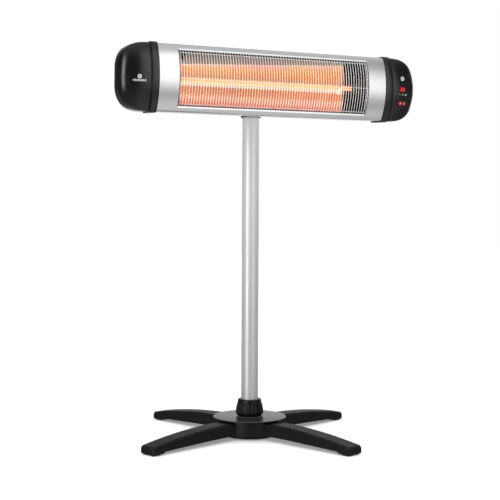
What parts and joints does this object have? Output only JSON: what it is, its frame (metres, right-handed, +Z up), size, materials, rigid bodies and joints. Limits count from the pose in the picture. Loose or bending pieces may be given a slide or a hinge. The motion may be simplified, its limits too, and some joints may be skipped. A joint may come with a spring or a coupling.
{
  "type": "outdoor heater",
  "caption": "Floor-standing infrared patio heater: a four-legged base, an upright mast with a clamp nut, and a long tilting heater head with a guarded tube and side controls.",
  "frame": {"origin": "on the floor, under the mast's axis", "axes": "+Z up the mast; +X along the heater head, towards its controls; -Y the way the head heats"},
  "size_m": [0.7612, 0.6378, 0.9402],
  "materials": {
    "base_plastic": "fine-grained satin black",
    "black_plastic": "satin black",
    "gloss_panel": "gloss black",
    "cover_steel": "satin charcoal paint",
    "silver_paint": "satin silver paint",
    "satin_aluminium": "satin, brushed along its length",
    "bright_reflector": "polished",
    "steel": "bright zinc",
    "black_steel": "matt black",
    "rubber": "matt",
    "quartz": "clear, glowing",
    "hot_wire": "glowing",
    "dark_ceramic": "matt",
    "board_green": "solder mask",
    "red_display": "lit red digits",
    "red_switch": "translucent red",
    "lead_silicone": "silicone"
  },
  "bodies": {
    "base": {"hub": "base_plastic", "leg_1": "base_plastic", "leg_2": "base_plastic", "leg_3": "base_plastic", "leg_4": "base_plastic", "foot_pad_1": "rubber", "foot_pad_2": "rubber", "foot_pad_3": "rubber", "foot_pad_4": "rubber", "leg_screw_1": "steel", "leg_screw_2": "steel", "leg_screw_3": "steel", "leg_screw_4": "steel", "hub_cover": "cover_steel", "clamp_sleeve": "black_plastic", "wedge_ring": "black_plastic"},
    "clamp_nut": {"clamp_nut": "black_plastic"},
    "mast": {"mast_tube": "silver_paint", "mast_plug": "black_plastic", "mast_fitting": "black_plastic", "fitting_screw": "steel"},
    "head": {"left_pivot_washer": "rubber", "right_pivot_washer": "rubber", "cap_screw_1": "steel", "cap_screw_2": "steel", "cap_screw_3": "steel", "cap_screw_4": "steel", "upper_bracket_screw": "steel", "lower_bracket_screw": "steel", "pivot_bolt": "steel", "guard": "steel", "left_cap": "black_plastic", "right_cap": "black_plastic", "cable_gland": "black_plastic", "switch_frame": "black_plastic", "terminal_block": "black_plastic", "tip_over_switch": "black_plastic", "housing": "satin_aluminium", "reflector": "bright_reflector", "left_bulkhead": "black_steel", "right_bulkhead": "black_steel", "reflector_stay": "black_steel", "left_socket_bracket": "black_steel", "right_socket_bracket": "black_steel", "tilt_bracket": "black_steel", "quartz_tube": "quartz", "filament": "hot_wire", "left_socket": "dark_ceramic", "right_socket": "dark_ceramic", "control_panel": "gloss_panel", "display": "red_display", "circuit_board": "board_green", "left_lead": "lead_silicone", "right_lead": "lead_silicone"},
    "tilt_knob": {"tilt_knob": "black_plastic"},
    "power_button": {"power_button": "gloss_panel"},
    "up_button": {"up_button": "gloss_panel"},
    "down_button": {"down_button": "gloss_panel"},
    "timer_button": {"timer_button": "gloss_panel"},
    "switch_rocker": {"switch_rocker": "red_switch"}
  },
  "joints": [
    {"name": "nut_turn", "type": "hinge", "parent": "base", "child": "clamp_nut", "pos_m": [0, 0, 0.072], "axis": [0, 0, 1], "range_deg": [0, 270]},
    {"name": "mast_swivel", "type": "hinge", "parent": "base", "child": "mast", "pos_m": [0, 0, 0.4], "axis": [0, 0, 1], "range_deg": [-180, 180]},
    {"name": "head_tilt", "type": "hinge", "parent": "mast", "child": "head", "pos_m": [0, 0, 0.8644], "axis": [1, 0, 0], "range_deg": [-25, 27.6]},
    {"name": "knob_turn", "type": "hinge", "parent": "head", "child": "tilt_knob", "pos_m": [0.028, 0, 0.8644], "axis": [1, 0, 0], "range_deg": [0, 360]},
    {"name": "power_press", "type": "slide", "parent": "head", "child": "power_button", "axis": [-0.1125, 0.9836, -0.1409], "range_m": [0, 0.0012], "stiffness_N_per_m": 300, "springref_m": -0.0004},
    {"name": "up_press", "type": "slide", "parent": "head", "child": "up_button", "axis": [-0.0603, 0.9909, 0.1207], "range_m": [0, 0.0012], "stiffness_N_per_m": 300, "springref_m": -0.0004},
    {"name": "down_press", "type": "slide", "parent": "head", "child": "down_button", "axis": [-0.115, 0.9859, 0.1216], "range_m": [0, 0.0012], "stiffness_N_per_m": 300, "springref_m": -0.0004},
    {"name": "timer_press", "type": "slide", "parent": "head", "child": "timer_button", "axis": [-0.1882, 0.9744, 0.123], "range_m": [0, 0.0012], "stiffness_N_per_m": 300, "springref_m": -0.0004},
    {"name": "switch_rock", "type": "hinge", "parent": "head", "child": "switch_rocker", "pos_m": [0.33551, -0.15265, 0.82568], "axis": [0.0286, -0.2662, 0.9635], "range_deg": [-18, 0]}
  ]
}
